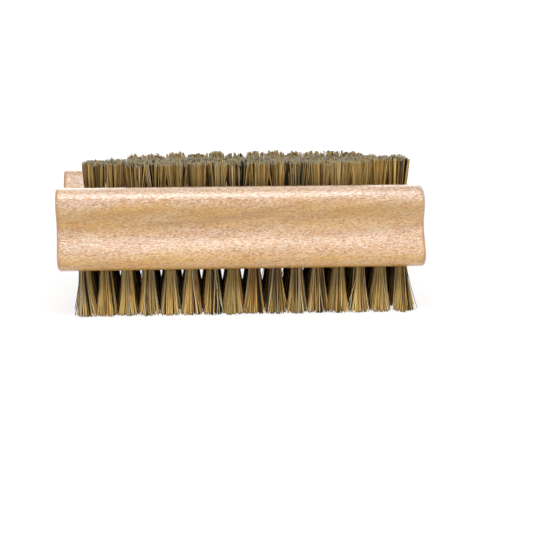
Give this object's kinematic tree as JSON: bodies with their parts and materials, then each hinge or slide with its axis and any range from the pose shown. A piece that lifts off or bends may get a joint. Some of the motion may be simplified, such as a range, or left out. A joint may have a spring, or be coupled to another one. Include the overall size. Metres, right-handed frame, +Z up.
{
  "type": "nail brush",
  "caption": "Two-sided wooden nail brush: a waisted beech stock with long bristle tufts below and short tufts in a trough above.",
  "frame": {"origin": "under the middle of the stock, on the plane of the long bristles' cut tips", "axes": "+X along the stock to the right, -Y the front, +Z up from the long bristles to the short ones"},
  "size_m": [0.095, 0.04, 0.0394],
  "materials": {
    "beech": "sanded, light oil, satin",
    "bristle": "natural animal bristle, cut tips"
  },
  "bodies": {
    "root": {"beech_stock": "beech", "lower_tufts_01": "bristle", "lower_tufts_02": "bristle", "lower_tufts_03": "bristle", "lower_tufts_04": "bristle", "lower_tufts_05": "bristle", "lower_tufts_06": "bristle", "lower_tufts_07": "bristle", "lower_tufts_08": "bristle", "lower_tufts_09": "bristle", "lower_tufts_10": "bristle", "lower_tufts_11": "bristle", "lower_tufts_12": "bristle", "lower_tufts_13": "bristle", "lower_tufts_14": "bristle", "lower_tufts_15": "bristle", "lower_tufts_16": "bristle", "upper_tufts_01": "bristle", "upper_tufts_02": "bristle", "upper_tufts_03": "bristle", "upper_tufts_04": "bristle", "upper_tufts_05": "bristle", "upper_tufts_06": "bristle", "upper_tufts_07": "bristle", "upper_tufts_08": "bristle", "upper_tufts_09": "bristle", "upper_tufts_10": "bristle", "upper_tufts_11": "bristle", "upper_tufts_12": "bristle", "upper_tufts_13": "bristle", "upper_tufts_14": "bristle", "upper_tufts_15": "bristle", "upper_tufts_16": "bristle"}
  },
  "joints": []
}
